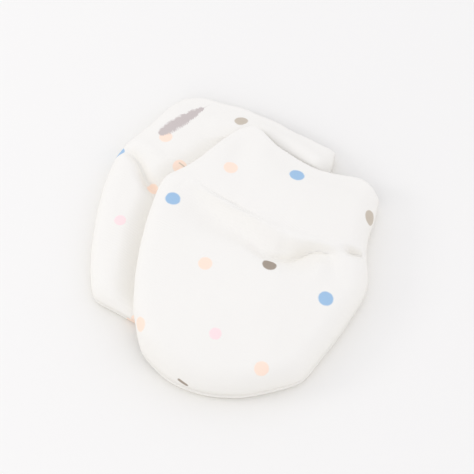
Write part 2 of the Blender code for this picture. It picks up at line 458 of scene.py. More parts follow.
# Loose barbs printed beside the dots, as short thin strokes: from x, y to x, y, the ink and the width.
UPPER_STROKES = (((-1.35, -0.85), (1.6, -1.65), "taupe", 1.45),)
LOWER_STROKES = (((-17.4, 66.2), (-15.2, 65.95), "sand", 0.45),)

# A printed plume: where its quill and its tip end, and its half width. Then the share of that width that its
# vane has along it: bare for the first ninth, full past the middle, blunt at the tip. The bare quill's own
# share comes after it.
LOWER_PLUME = {"quill": (-20.5, 97.2), "tip": (-30.4, 73.8), "half_width": 2.4}
UNDER_PLUME = {"quill": (12.0, 50.0), "tip": (3.6, 30.4), "half_width": 2.4}
PLUME_VANE = (
    (0.11, 0.08),
    (0.16, 0.42),
    (0.26, 0.56),
    (0.40, 0.80),
    (0.62, 1.0),
    (0.84, 0.94),
    (0.96, 0.60),
)
PLUME_QUILL = 0.05
PLUME_INK = "#CCC2BD"

# Its barbs: how far apart they are, how they lean and how far they comb the vane's edge. Then the size, the
# depth and the middle of the tatters that fray it, and the share of its length over which each end stops.
BARB_SPACING = 1.1
BARB_LEAN = -1.6
BARB_COMB = 0.18
TATTER_SIZE = 1.6
TATTER_DEPTH = 0.9
TATTER_MIDDLE = 0.52
PLUME_END = 0.02


def smooth_step(value):
    """0 below 0, 1 above 1 and a soft run between."""
    t = np.clip(value, 0.0, 1.0)
    return t * t * (3.0 - 2.0 * t)


def smooth_line(rows, steps=14):
    """The rows as a dense polyline of a smooth curve that passes through every row (Catmull-Rom)."""
    rows = np.array(rows, float)
    first = 2.0 * rows[0] - rows[1]
    last = 2.0 * rows[-1] - rows[-2]
    padded = np.vstack([first, rows, last])
    t = np.linspace(0.0, 1.0, steps, endpoint=False)[:, None]
    pieces = []
    for a, b, c, d in zip(padded, padded[1:], padded[2:], padded[3:]):
        pieces.append(0.5 * (2 * b + (c - a) * t + (2 * a - 5 * b + 4 * c - d) * t**2
                             + (3 * b - a - 3 * c + d) * t**3))
    return np.vstack(pieces + [rows[-1:]])


def at_share(line, shares):
    """Points at the given shares of a polyline's length."""
    steps = np.hypot(*np.diff(line, axis=0).T)
    length = np.concatenate([[0.0], np.cumsum(steps)])
    wanted = np.asarray(shares) * length[-1]
    return np.stack([np.interp(wanted, length, line[:, 0]), np.interp(wanted, length, line[:, 1])], axis=-1)


def eased(line, run, spacing=0.5):
    """A polyline with even steps and its corners eased over about the given run, its two ends kept."""
    count = max(int(np.hypot(*np.diff(line, axis=0).T).sum() / spacing), 8)
    even = at_share(line, np.linspace(0.0, 1.0, count + 1))
    reach = int(3.0 * run / spacing)
    before, after = 2.0 * even[:1] - even[reach:0:-1], 2.0 * even[-1:] - even[-2:-reach - 2:-1]
    padded = np.vstack([before, even, after])
    weight = np.exp(-0.5 * (np.arange(-reach, reach + 1) * spacing / run) ** 2)
    weight /= weight.sum()
    return np.column_stack([np.convolve(padded[:, axis], weight, mode="valid") for axis in (0, 1)])


def seam_round(edges):
    """The seam's line from one end of the hem round the fingertips to the other, and its three edges."""
    sharp = np.vstack([edges["left"][::-1], edges["fingertip"][1:], edges["right"][1:]])
    seam = eased(sharp, CORNER_RUN)
    first, last = (np.hypot(*(seam - edges["fingertip"][end]).T).argmin() for end in (0, -1))
    return seam, seam[first::-1], seam[first:last + 1], seam[last:]


def nearest_on(line, points):
    """Distance from each point to a polyline, and the row position along it of the nearest point."""
    best = np.full(len(points), np.inf)
    where = np.zeros(len(points))
    for index in range(len(line) - 1):
        start = line[index, :2]
        run = line[index + 1, :2] - start
        t = np.clip(((points - start) @ run) / max(run @ run, 1e-9), 0.0, 1.0)
        distance = np.hypot(*(points - start - t[:, None] * run).T)
        closer = distance < best
        best[closer] = distance[closer]
        where[closer] = index + t[closer]
    return best, where


def signed_distance(outline, points):
    """Distance to a closed outline, above 0 inside it."""
    distance, _ = nearest_on(outline, points)
    inside = np.zeros(len(points), bool)
    for (ax, ay), (bx, by) in zip(outline[:-1], outline[1:]):
        crosses = (ay > points[:, 1]) != (by > points[:, 1])
        x_there = ax + (points[:, 1] - ay) * (bx - ax) / np.where(by == ay, 1e-9, by - ay)
        inside ^= crosses & (points[:, 0] < x_there)
    return np.where(inside, distance, -distance)


def rounded(share, squareness):
    """Rise of a round edge: 0 at the seam, where it is upright, and 1 from its full reach on."""
    t = np.clip(share, 0.0, 1.0)
    return (1.0 - (1.0 - t) ** squareness) ** (1.0 / squareness)


def fold_height(folds, points):
    """Height that a table of folds adds at each point, faded out past the ends of each fold.

    A row holds x, y, half width and height, or x, y, the half widths to its left and right, and height.
    """
    total = np.zeros(len(points))
    for rows in folds.values():
        line = smooth_line(rows, steps=8)
        distance, where = nearest_on(line, points)
        position = np.arange(len(line))
        start = np.minimum(where.astype(int), len(line) - 2)
        run, gap = line[start + 1, :2] - line[start, :2], points - line[start, :2]
        on_left = run[:, 0] * gap[:, 1] > run[:, 1] * gap[:, 0]
        left, right = (np.interp(where, position, line[:, column]) for column in (2, line.shape[1] - 2))
        height = np.interp(where, position, line[:, -1])
        total += height * np.exp(-((distance / np.where(on_left, left, right)) ** 2))
    return total


def ripple(points, wavelength, seed, waves=9):
    """Soft uneven waves between about -1 and 1: a sum of plane waves in seeded directions."""
    random = np.random.default_rng(seed)
    total = np.zeros(len(points))
    for _ in range(waves):
        angle = random.uniform(0.0, 2.0 * np.pi)
        length = wavelength * random.uniform(0.7, 1.5)
        phase = random.uniform(0.0, 2.0 * np.pi)
        along = points @ np.array([np.cos(angle), np.sin(angle)])
        total += np.sin(2.0 * np.pi * along / length + phase)
    return total / math.sqrt(waves)


def gathers(count, seed, depth):
    """A table of short pleats that cross the wrist line, uneven in place, length, width and depth."""
    random = np.random.default_rng(seed)
    line = smooth_line(WRIST_LINE)
    table = {}
    for index in range(count):
        place, lean, down, up, width, share = (random.uniform(*limits) for limits in GATHER_LIMITS.values())
        x, y = at_share(line, [(index + place) / count])[0]
        table["gather_%d" % index] = (
            (x - lean * down, y - down, width * GATHER_SPREAD_DOWN, 0.0),
            (x, y, width, -depth * share),
            (x + lean * up, y + up, width * GATHER_SPREAD_UP, 0.0),
        )
    return table


def waver(line, size, wavelength, seed):
    """A polyline moved a little sideways in soft uneven waves, its two ends kept."""
    run = np.gradient(line, axis=0)
    normal = np.column_stack([-run[:, 1], run[:, 0]]) / np.maximum(np.hypot(*run.T), 1e-9)[:, None]
    share = np.linspace(0.0, 1.0, len(line))
    ends = smooth_step(share / WAVER_EASE) * smooth_step((1.0 - share) / WAVER_EASE)
    return line + normal * (size * ends * ripple(line, wavelength, seed))[:, None]


def crowded(faces, both_ends):
    """Shares from 0 to 1 that crowd together at 0, and at 1 too if both_ends."""
    even = np.linspace(0.0, 1.0, faces + 1)
    if both_ends:
        close = 0.5 - 0.5 * np.cos(np.pi * even)
    else:
        close = 1.0 - np.cos(0.5 * np.pi * even)
    return EDGE_CROWDING * close + (1.0 - EDGE_CROWDING) * even


class Mitten:
    """One mitten: its edges where it lies, and its levels above the ground."""

    def __init__(self, name, folds, seed):
        place = PLACES[name]
        self.name = name
        self.folds = folds
        self.seed = seed
        self.origin = np.array([place["x"], place["y"]])
        self.seam = place["seam"]
        edges = {edge: smooth_line(rows) + self.origin for edge, rows in EDGES[name].items()}
        self.cut = np.vstack([seam_round(edges)[0], edges["hem"][::-1]])
        for index, edge in enumerate(edges):
            size, wavelength = HEM_WAVER if edge == "hem" else SIDE_WAVER
            edges[edge] = waver(edges[edge], size, wavelength, seed + index)
        seam, self.left, self.fingertip, self.right = seam_round(edges)
        share = np.linspace(0.0, 1.0, len(edges["hem"]))
        rise, fall = smooth_step(share / HEM_REACH_EASE), smooth_step((1.0 - share) / HEM_REACH_EASE)
        self.hem = edges["hem"] + (HEM_REACH[name] * rise * fall)[:, None] * (0.0, 1.0)
        self.outline = np.vstack([seam, self.hem[::-1]])
        beyond_hem = np.array([0.0, OPEN_END])
        self.bag = np.vstack([seam[:1] + beyond_hem, seam, seam[-1:] + beyond_hem, seam[:1] + beyond_hem])

    def plan(self, across, along):
        """Grid of ground positions that fills the four edges (a Coons patch), along x across."""
        u = crowded(across, both_ends=True)[None, :, None]
        v = crowded(along, both_ends=False)[:, None, None]
        tip, hem = at_share(self.fingertip, u[0, :, 0])[None], at_share(self.hem, u[0, :, 0])[None]
        left, right = at_share(self.left, v[:, 0, 0])[:, None], at_share(self.right, v[:, 0, 0])[:, None]
        corners = ((1 - u) * (1 - v) * tip[:, :1] + u * (1 - v) * tip[:, -1:]
                   + (1 - u) * v * hem[:, :1] + u * v * hem[:, -1:])
        return (1 - v) * tip + v * hem + (1 - u) * left + u * right - corners

    def puff(self, points):
        """Height of the top face above what the mitten lies on, folds left out."""
        rows = smooth_line(PUFF, steps=8)
        return np.interp(points[:, 1] - self.origin[1], rows[:, 0], rows[:, 1])

    def relief(self, points, side, gather_count, gather_depth):
        """Folds, creases, gathers and soft unevenness of a panel's outer face."""
        own = points - self.origin
        pleats = gathers(gather_count, self.seed + GATHER_SEED + side, gather_depth)
        seed = self.seed + FACE_SEED + side
        soft = sum(size * ripple(own, wavelength, seed + 2 * index)
                   for index, (size, wavelength) in enumerate(FACE_WAVES))
        return fold_height(self.folds, own) * (side > 0) + fold_height(pleats, own) + soft


def lower_levels(mitten, cover, points, relief):
    """Base and top of the first mitten: on the ground, and pressed down beneath the second one."""
    past_hem = smooth_step((points[:, 1] - cover.origin[1] - PRESSED_HEM_FROM) / PRESSED_HEM_RUN)
    reach = PRESSED_EDGE + (PRESSED_EDGE_AT_HEM - PRESSED_EDGE) * past_hem
    pressed = smooth_step(1.0 + signed_distance(cover.outline, points) / reach)
    free = mitten.puff(points) + relief
    floor = PRESSED_HEIGHT + CREASE_UNDER_COVER * np.minimum(relief, 0.0)
    return np.zeros(len(points)), free + (floor - free) * pressed


def upper_levels(mitten, support, points, relief):
    """Base and top of the second mitten, which drapes over the first one's edge to the ground."""
    beyond = DRAPE_START - signed_distance(support.outline, points)
    carried = PRESSED_HEIGHT + LYING_GAP
    base = carried * (1.0 - smooth_step(beyond / DRAPE_RUN_UNDER))
    lift = carried * (1.0 - smooth_step(beyond / DRAPE_RUN_TOP))
    return base, lift + mitten.puff(points) + relief


def inward_from(mitten, points, step=0.05):
    """Unit vectors that point straight in from the seam."""
    slope = np.stack([
        signed_distance(mitten.bag, points + shift) - signed_distance(mitten.bag, points - shift)
        for shift in step * np.eye(2)
    ], axis=-1)
    return slope / np.maximum(np.hypot(*slope.T), 1e-9)[:, None]


def unrolled(face, origin):
    """Flat coordinates of a face's points in millimetres: lengths along the cloth from its middle."""
    rows, columns = face.shape[:2]
    middle_row, middle_column = rows // 2, columns // 2
    across = np.cumsum(np.linalg.norm(np.diff(face, axis=1), axis=2), axis=1)
    across = np.concatenate([np.zeros((rows, 1)), across], axis=1)
    along = np.cumsum(np.linalg.norm(np.diff(face, axis=0), axis=2), axis=0)
    along = np.concatenate([np.zeros((1, columns)), along], axis=0)
    x = across - across[:, middle_column, None] + face[:, middle_column, 0][:, None] - origin[0]
    y = along - along[middle_row][None] + face[middle_row, :, 1][None] - origin[1]
    return np.stack([x, y], axis=-1)


def panel_faces(mitten, levels, side, faces, gather_count, gather_depth):
    """A panel's outer face with its seam lips and turned hem: a grid of points and its flat coordinates."""
    plan = mitten.plan(*faces)
    rows, columns = plan.shape[:2]
    points = plan.reshape(-1, 2)
    relief = mitten.relief(points, side, gather_count, gather_depth)
    base, top = levels(points, relief)
    reach = TOP_EDGE_REACH if side > 0 else UNDER_EDGE_REACH
    squareness = TOP_EDGE_SQUARENESS if side > 0 else UNDER_EDGE_SQUARENESS
    distance = np.maximum(signed_distance(mitten.bag, points), 0.0)
    waves, wavelength = SEAM_WAVES
    middle = base + mitten.seam + waves * ripple(points, wavelength, mitten.seed + SEAM_SEED)
    seam = middle + side * SEAM_LIP_HEIGHT
    far = top if side > 0 else base + np.maximum(UNDER_RELIEF * relief, 0.0)
    z = seam + (far - seam) * rounded(distance / reach, squareness)
    face = np.column_stack([points, z]).reshape(rows, columns, 3)
    flat = unrolled(face, mitten.origin)

    # The hem turns under: a round edge past the panel's end, then rows that follow the panel back below it.
    outward = face[-1] - face[-2]
    outward /= np.linalg.norm(outward, axis=1)[:, None]
    across = np.gradient(face[-1], axis=0)
    normal = np.cross(across, outward)
    normal *= side / np.linalg.norm(normal, axis=1)[:, None]
    back = np.cumsum(np.linalg.norm(np.diff(face[::-1], axis=0), axis=2).mean(axis=1))
    turned = []
    for step, depth in HEM_TURN:
        row = -1 if step > 0.0 else -2 - int(np.searchsorted(back, -step))
        turned.append(face[row] + max(step, 0.0) * outward - depth * normal)
    turned_flat = [flat[-1] + (0.0, 1.0 + index) for index in range(len(HEM_TURN))]
    face = np.concatenate([face, np.stack(turned)])
    flat = np.concatenate([flat, np.stack(turned_flat)])

    # The seam's lips: a ring of points round both sides and the fingertips, each step further in.
    for depth, height in SEAM_LIPS:
        face, flat = with_lip(face, flat, mitten, middle.reshape(rows, columns), depth, height * side)
    return face, flat


def with_lip(face, flat, mitten, middle, depth, height):
    """The grid with one more row at the fingertips and a column on both sides, turned in at the seam."""
    columns = middle.shape[1]
    lips = (face.shape[1] - columns) // 2
    edge = {
        "left": face[lips:, lips],
        "right": face[lips:, lips + columns - 1],
        "tip": face[lips, lips:lips + columns],
    }
    seam_z = {"left": middle[:, 0], "right": middle[:, -1], "tip": middle[0]}
    turned = {}
    for name, line in edge.items():
        level = seam_z[name]
        extra = len(line) - len(level)
        if extra:
            level = np.concatenate([level, line[len(level):, 2] - line[len(level) - 1, 2] + level[-1]])
        ground = line[:, :2] + depth * inward_from(mitten, line[:, :2])
        turned[name] = np.column_stack([ground, level + height])
    corner_left, corner_right = turned["tip"][:1], turned["tip"][-1:]
    pad = face.shape[0] - turned["left"].shape[0]
    left = np.concatenate([np.repeat(corner_left, pad, axis=0), turned["left"]])[:, None]
    right = np.concatenate([np.repeat(corner_right, pad, axis=0), turned["right"]])[:, None]
    face = np.concatenate([left, face, right], axis=1)
    flat = np.concatenate([flat[:, :1], flat, flat[:, -1:]], axis=1)
    ends = (face.shape[1] - columns) // 2
    tip = np.concatenate([
        np.repeat(corner_left, ends, axis=0), turned["tip"], np.repeat(corner_right, ends, axis=0),
    ])
    return np.concatenate([tip[None], face]), np.concatenate([flat[:1], flat])


def both_mittens():
    """The two mittens and the middle of the box round both cuts."""
    lower = Mitten("lower_mitten", {**LOWER_FOLDS, **LOWER_CREASES}, seed=11)
    upper = Mitten("upper_mitten", {**UPPER_FOLDS, **UPPER_CREASES}, seed=47)
    cuts = np.vstack([lower.cut, upper.cut])
    return lower, upper, np.append((cuts.min(axis=0) + cuts.max(axis=0)) / 2.0, 0.0)


# ---------------------------------------------------------------------------------------------------------
# Materials
# ---------------------------------------------------------------------------------------------------------

# The panels' UV map counts in hundreds of millimetres.
FLAT_UNIT = 100.0

# Half of the run over which a dot's ink thins out. Then how far its edge wanders, and over what length.
INK_EDGE = 0.3
INK_WANDER = 0.35
INK_GRAIN = 1.3

# The cotton's faint mottle: its size, and how dark its darker parts are.
MOTTLE_SIZE = 14.0
MOTTLE_SHADE = 0.985

# How far a stitch's legs lean, the size of the nap's fuzz and its share of the relief, and how the relief
# shows in the shading.
STITCH_LEAN = 1.2
FUZZ_SIZE = 0.9
FUZZ_SHARE = 1.4
KNIT_STRENGTH = 0.35

MATH, MIX, NOISE = "ShaderNodeMath", "ShaderNodeMix", "ShaderNodeTexNoise"


def linear(hex_colour):
    """An sRGB hex colour as linear RGBA."""
    channels = [int(hex_colour[i:i + 2], 16) / 255.0 for i in (1, 3, 5)]
    return tuple(c / 12.92 if c <= 0.04045 else ((c + 0.055) / 1.055) ** 2.4 for c in channels) + (1.0,)


def add_node(tree, kind, inputs=(), output=0, **settings):
    """Adds a node, sets its properties and fills its inputs with values or links. Returns one output."""
    made = tree.nodes.new(kind)
    for name, value in settings.items():
        setattr(made, name, value)
    for socket, value in dict(inputs).items():
        if isinstance(value, bpy.types.NodeSocket):
            tree.links.new(value, made.inputs[socket])
        else:
            made.inputs[socket].default_value = value
    return made.outputs[output]


def dot_mask(tree, spots, rough):
    """1 within reach of any of the spots' middles and 0 outside, with a soft uneven printed edge."""
    place = add_node(tree, "ShaderNodeTexCoord", output="Object")
    nearest = None
    for *middle, width in spots:
        gap = add_node(tree, "ShaderNodeVectorMath", {0: place, 1: middle}, "Value", operation="DISTANCE")
        gap = add_node(tree, MATH, {0: gap, 1: 0.5 * width * MM}, operation="SUBTRACT")
        if nearest is not None:
            gap = add_node(tree, MATH, {0: nearest, 1: gap}, operation="MINIMUM")
        nearest = gap
    edge = add_node(tree, MATH, {0: nearest, 1: rough}, operation="ADD")
    return add_node(tree, "ShaderNodeMapRange", {
        "Value": edge,
        "From Min": INK_EDGE * MM,
        "From Max": -INK_EDGE * MM,
    }, interpolation_type="SMOOTHSTEP")


def laid_between(tree, flat, start, end):
    """The cloth's coordinates, moved to the start and turned so that X runs to the end, and the length."""
    run = np.array(end) - np.array(start)
    placed = add_node(tree, "ShaderNodeMapping", {
        "Vector": flat,
        "Location": (start[0] / FLAT_UNIT, start[1] / FLAT_UNIT, 0.0),
        "Rotation": (0.0, 0.0, math.atan2(run[1], run[0])),
    }, vector_type="TEXTURE")
    return placed, float(np.hypot(*run)) / FLAT_UNIT


def stroke_mask(tree, flat, start, end, width):
    """1 along a short thin stroke and 0 outside, with a soft edge."""
    placed, length = laid_between(tree, flat, start, end)
    lengthwise = add_node(tree, "ShaderNodeSeparateXYZ", {0: placed}, "X")
    within = add_node(tree, "ShaderNodeClamp", {"Value": lengthwise, "Min": 0.0, "Max": length})
    nearest = add_node(tree, "ShaderNodeCombineXYZ", {"X": within})
    gap = add_node(tree, "ShaderNodeVectorMath", {0: placed, 1: nearest}, "Value", operation="DISTANCE")
    return add_node(tree, "ShaderNodeMapRange", {
        "Value": gap,
        "From Min": (0.5 * width + INK_EDGE) / FLAT_UNIT,
        "From Max": (0.5 * width - INK_EDGE) / FLAT_UNIT,
    }, interpolation_type="SMOOTHSTEP")


def plume_mask(tree, flat, plume):
    """A feather: a blunt vane with ragged barbs along both sides of a quill."""
    placed, length = laid_between(tree, flat, plume["quill"], plume["tip"])
    lengthwise = add_node(tree, "ShaderNodeSeparateXYZ", {0: placed}, "X")
    sideways = add_node(tree, "ShaderNodeSeparateXYZ", {0: placed}, "Y")
    along = add_node(tree, MATH, {0: lengthwise, 1: length}, operation="DIVIDE")
    across = add_node(tree, MATH, {0: sideways}, operation="ABSOLUTE")
    # The vane's half width along the quill.
    vane = add_node(tree, "ShaderNodeFloatCurve", {"Value": along})
    curve = vane.node.mapping.curves[0]
    curve.points[0].location = (0.0, PLUME_QUILL)
    curve.points[1].location = (1.0, 0.0)
    for x, y in PLUME_VANE:
        curve.points.new(x, y)
    vane.node.mapping.update()
    # Barbs: fine slanting stripes that fray the vane's edge.
    slant = add_node(tree, MATH, {0: across, 1: BARB_LEAN, 2: lengthwise}, operation="MULTIPLY_ADD")
    pitch = 2.0 * math.pi * FLAT_UNIT / BARB_SPACING
    turns = add_node(tree, MATH, {0: slant, 1: pitch}, operation="MULTIPLY")
    barb = add_node(tree, MATH, {0: turns}, operation="SINE")
    tatter = add_node(tree, NOISE, {"Vector": placed, "Scale": FLAT_UNIT / TATTER_SIZE, "Detail": 2.0})
    fray = add_node(tree, MATH, {0: tatter, 1: TATTER_DEPTH, 2: TATTER_MIDDLE}, operation="MULTIPLY_ADD")
    ragged = add_node(tree, MATH, {0: barb, 1: BARB_COMB, 2: fray}, operation="MULTIPLY_ADD")
    share = add_node(tree, MATH, {0: vane, 1: ragged}, operation="MULTIPLY")
    half_width = plume["half_width"] / FLAT_UNIT
    limit = add_node(tree, MATH, {0: share, 1: half_width}, operation="MULTIPLY")
    left_over = add_node(tree, MATH, {0: limit, 1: across}, operation="SUBTRACT")
    soft_edge = INK_EDGE / FLAT_UNIT
    inside = add_node(tree, MATH, {0: left_over, 1: soft_edge}, operation="DIVIDE", use_clamp=True)
    begun = add_node(tree, MATH, {0: along, 1: PLUME_END}, operation="DIVIDE", use_clamp=True)
    to_go = add_node(tree, MATH, {0: 1.0, 1: along}, operation="SUBTRACT")
    ended = add_node(tree, MATH, {0: to_go, 1: PLUME_END}, operation="DIVIDE", use_clamp=True)
    ends = add_node(tree, MATH, {0: begun, 1: ended}, operation="MULTIPLY")
    return add_node(tree, MATH, {0: inside, 1: ends}, operation="MULTIPLY")


def knit_bump(tree, flat, cloth):
    """Fine V-shaped stitches in upright wales, which give plain jersey its soft even grain."""
    across = add_node(tree, "ShaderNodeSeparateXYZ", {0: flat}, "X")
    along = add_node(tree, "ShaderNodeSeparateXYZ", {0: flat}, "Y")
    # Real wales stand 0.6 mm apart; here they are as coarse as it takes for them to show at all.
    wale = 2.0 * math.pi * FLAT_UNIT * MM / cloth.wale_spacing
    course = 2.0 * math.pi * FLAT_UNIT * MM / cloth.course_spacing
    turns = add_node(tree, MATH, {0: across, 1: wale}, operation="MULTIPLY")
    column = add_node(tree, MATH, {0: turns}, operation="SINE")
    column = add_node(tree, MATH, {0: column}, operation="ABSOLUTE")
    rows = add_node(tree, MATH, {0: along, 1: course}, operation="MULTIPLY")
    lean = add_node(tree, MATH, {0: column, 1: STITCH_LEAN, 2: rows}, operation="MULTIPLY_ADD")
    stitch = add_node(tree, MATH, {0: lean}, operation="SINE")
    stitch = add_node(tree, MATH, {0: stitch, 1: column}, operation="MULTIPLY")
    fuzz = add_node(tree, NOISE, {"Vector": flat, "Scale": FLAT_UNIT / FUZZ_SIZE, "Detail": 3.0})
    height = add_node(tree, MATH, {0: fuzz, 1: FUZZ_SHARE, 2: stitch}, operation="MULTIPLY_ADD")
    return add_node(tree, "ShaderNodeBump", {
        "Height": height,
        "Strength": KNIT_STRENGTH,
        "Distance": cloth.stitch_depth,
    })


def print_masks(tree, flat, cloth, dots, strokes, plume):
    """Each screen of the print as its mask and its ink, in the order in which they are pressed on."""
    masks = []
    if dots:
        grain = add_node(tree, NOISE, {"Vector": flat, "Scale": FLAT_UNIT / INK_GRAIN, "Detail": 2.0})
        wander = {0: grain, 1: INK_WANDER * MM, 2: -0.5 * INK_WANDER * MM}
        rough = add_node(tree, MATH, wander, operation="MULTIPLY_ADD")
    for ink, hex_colour in INKS.items():
        spots = [(x, y, z, width * cloth.dot_scale) for x, y, z, own_ink, width in dots if own_ink == ink]
        if spots:
            masks.append((dot_mask(tree, spots, rough), hex_colour))
    for start, end, ink, width in strokes:
        masks.append((stroke_mask(tree, flat, start, end, width), INKS[ink]))
    if plume:
        masks.append((plume_mask(tree, flat, plume), PLUME_INK))
    return masks


def printed_jersey(name, cloth, dots=(), strokes=(), plume=None):
    """Combed cotton jersey, knitted fine, bleached warm white and screen printed in pastel pigment.

    It is matt all over, with a faint nap that catches the light at its edges, and the pigment sinks in.
    """
    material = bpy.data.materials.new(name)
    material.use_nodes = True
    tree = material.node_tree
    shader = tree.nodes["Principled BSDF"]
    flat = add_node(tree, "ShaderNodeUVMap", uv_map="flat")
    cotton = tuple(cloth.cotton) + (1.0,)
    shade = tuple(MOTTLE_SHADE * channel for channel in cloth.cotton) + (1.0,)
    mottle = add_node(tree, NOISE, {"Vector": flat, "Scale": FLAT_UNIT / MOTTLE_SIZE, "Detail": 2.0})
    colour = add_node(tree, MIX, {0: mottle, 6: cotton, 7: shade}, 2, data_type="RGBA")
    for mask, hex_colour in print_masks(tree, flat, cloth, dots, strokes, plume):
        colour = add_node(tree, MIX, {0: mask, 6: colour, 7: linear(hex_colour)}, 2, data_type="RGBA")
    tree.links.new(colour, shader.inputs["Base Color"])
    shader.inputs["Roughness"].default_value = 0.92
    shader.inputs["Specular IOR Level"].default_value = 0.2
    shader.inputs["Sheen Weight"].default_value = 0.08
    shader.inputs["Sheen Roughness"].default_value = 0.5
    tree.links.new(knit_bump(tree, flat, cloth), shader.inputs["Normal"])
    return material


# ---------------------------------------------------------------------------------------------------------
# Pieces
# ---------------------------------------------------------------------------------------------------------

# Corners of a panel closer than this, in metres, are one: the lips' ends meet at the panel's corners.
MERGE_DISTANCE = 0.000002

# Rows and columns of a panel's grid where no dot is looked up: the lips with the upright faces beside them,
# and the turned hem. Then how many faces past its nearest point a dot may be placed.
LIP_MARGIN = 4
HEM_MARGIN = 12
FURTHEST_STEP = 1.5


def cloth_piece(name, face, flat, side, cloth, centre):
    """A panel's shell: a grid shaped to the outer face, with a wall added inwards."""
    rows, columns = face.shape[:2]
    bm = bmesh.new()
    bmesh.ops.create_grid(bm, x_segments=columns - 1, y_segments=rows - 1, size=1.0)
    flat_layer = bm.loops.layers.uv.new("flat")
    place = {}
    for vert in bm.verts:
        column = round((vert.co.x + 1.0) * 0.5 * (columns - 1))
        row = round((vert.co.y + 1.0) * 0.5 * (rows - 1))
        place[vert] = (row, column)
    for surface in bm.faces:
        for loop in surface.loops:
            loop[flat_layer].uv = flat[place[loop.vert]] / FLAT_UNIT
    for vert, spot in place.items():
        vert.co = (face[spot] - centre) * MM
    if side < 0:
        bmesh.ops.reverse_faces(bm, faces=bm.faces[:])
    bmesh.ops.remove_doubles(bm, verts=bm.verts[:], dist=MERGE_DISTANCE)
    mesh = bpy.data.meshes.new(name)
    bm.to_mesh(mesh)
    bm.free()
    mesh.shade_smooth()
    piece = bpy.data.objects.new(name, mesh)
    bpy.context.scene.collection.objects.link(piece)
    wall = piece.modifiers.new("cloth", "SOLIDIFY")
    wall.thickness = cloth.thickness
    wall.offset = -1.0
    wall.material_offset = 1
    return piece


def dress(piece, node_name, outside, inside):
    """Gives a cloth piece its finish, hangs it on the root body and hides the part that it takes the place
    of.
    """
    piece.data.materials.append(outside)
    piece.data.materials.append(inside)
    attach(piece, "root")
    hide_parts(node_name)


def spots_on(face, values, origin, dots):
    """What a grid of values holds at each dot, whose x and y are its place on the lying mitten."""
    ground = face[..., :2] - origin
    found = []
    for x, y, *rest in dots:
        gap = np.hypot(ground[..., 0] - x, ground[..., 1] - y)
        row, column = np.unravel_index(gap.argmin(), gap.shape)
        row = min(max(row, LIP_MARGIN), face.shape[0] - HEM_MARGIN)
        column = min(max(column, LIP_MARGIN), face.shape[1] - 1 - LIP_MARGIN)
        # From that point of the grid, the rest of the way is counted in faces along and across it.
        here, ahead, beside = (row, column), (row + 1, column), (row, column + 1)
        steps = np.column_stack([ground[ahead] - ground[here], ground[beside] - ground[here]])
        share = np.linalg.solve(steps, np.array([x, y]) - ground[here])
        share = np.clip(share, -FURTHEST_STEP, FURTHEST_STEP)
        value = values[here] + share[0] * (values[ahead] - values[here])
        value = value + share[1] * (values[beside] - values[here])
        found.append((*value, *rest))
    return found


def lay_mitten(mitten, levels, dots, strokes, plumes, cloth, centre):
    """Makes a mitten's two panels. The strokes are on its top panel."""
    inside = printed_jersey(mitten.name + "_jersey_reverse", cloth)
    for part, side, faces, (count, depth_share) in (
        ("top_panel", 1, TOP_FACES, TOP_GATHERS),
        ("under_panel", -1, UNDER_FACES, UNDER_GATHERS),
    ):
        face, flat = panel_faces(mitten, levels, side, faces, count, cloth.gather_depth / MM * depth_share)
        spots = spots_on(face, (face - centre) * MM, mitten.origin, dots[part])
        own_strokes = [
            (*spots_on(face, flat, mitten.origin, stroke[:2]), *stroke[2:])
            for stroke in (strokes if side > 0 else ())
        ]
        plume = plumes.get(part)
        if plume:
            quill, tip = spots_on(face, flat, mitten.origin, [plume["quill"], plume["tip"]])
            plume = {**plume, "quill": quill, "tip": tip}
        node_name = mitten.name + "_" + part
        outside = printed_jersey(node_name + "_printed_jersey", cloth, spots, own_strokes, plume)
        piece = cloth_piece(node_name.replace("panel", "jersey"), face, flat, side, cloth, centre)
        dress(piece, node_name, outside, inside)


class MittenClothSettings(bpy.types.PropertyGroup):
    """Sizes and colours of the jersey."""

    thickness: FloatProperty(
        name="Jersey thickness", description="Thickness of one layer of jersey",
        default=0.0006, min=0.0002, max=0.002, unit="LENGTH", precision=4)
    dot_scale: FloatProperty(
        name="Dot scale", description="How large the printed dots are against their own widths",
        default=1.0, min=0.2, max=2.0, subtype="FACTOR")
    gather_depth: FloatProperty(
        name="Gather depth", description="Depth of the deepest gather at the wrist elastic",
        default=0.0006, min=0.0, max=0.003, unit="LENGTH", precision=4)
    wale_spacing: FloatProperty(
        name="Wale spacing", description="Distance between upright rows of stitches",
        default=0.0012, min=0.0004, max=0.003, unit="LENGTH", precision=4)
    course_spacing: FloatProperty(
        name="Course spacing", description="Distance between level rows of stitches",
        default=0.0011, min=0.0004, max=0.003, unit="LENGTH", precision=4)
    stitch_depth: FloatProperty(
        name="Stitch depth", description="How far the stitches stand out",
        default=0.00003, min=0.0, max=0.0005, unit="LENGTH", precision=5)
    cotton: FloatVectorProperty(
        name="Cotton", description="Colour of the bleached cotton",
        subtype="COLOR", size=3, min=0.0, max=1.0, default=linear("#F5F2EA")[:3])


class MittenStageSettings(bpy.types.PropertyGroup):
    """The floor, the light and the camera."""

    floor_colour: FloatVectorProperty(
        name="Floor", description="Colour of the paper sweep",
        subtype="COLOR", size=3, min=0.0, max=1.0, default=linear("#F4F2EC")[:3])
    sky: FloatProperty(
        name="Fill light", description="Strength of the even light from all round",
        default=1.08, min=0.0, max=4.0)
    key_power: FloatProperty(
        name="Key light", description="Power of the soft box at the side",
        default=0.6, min=0.0, max=50.0, unit="POWER")
    camera_distance: FloatProperty(
        name="Camera distance", description="From the camera to the middle of the pair",
        default=0.4832, min=0.1, max=5.0, unit="LENGTH")


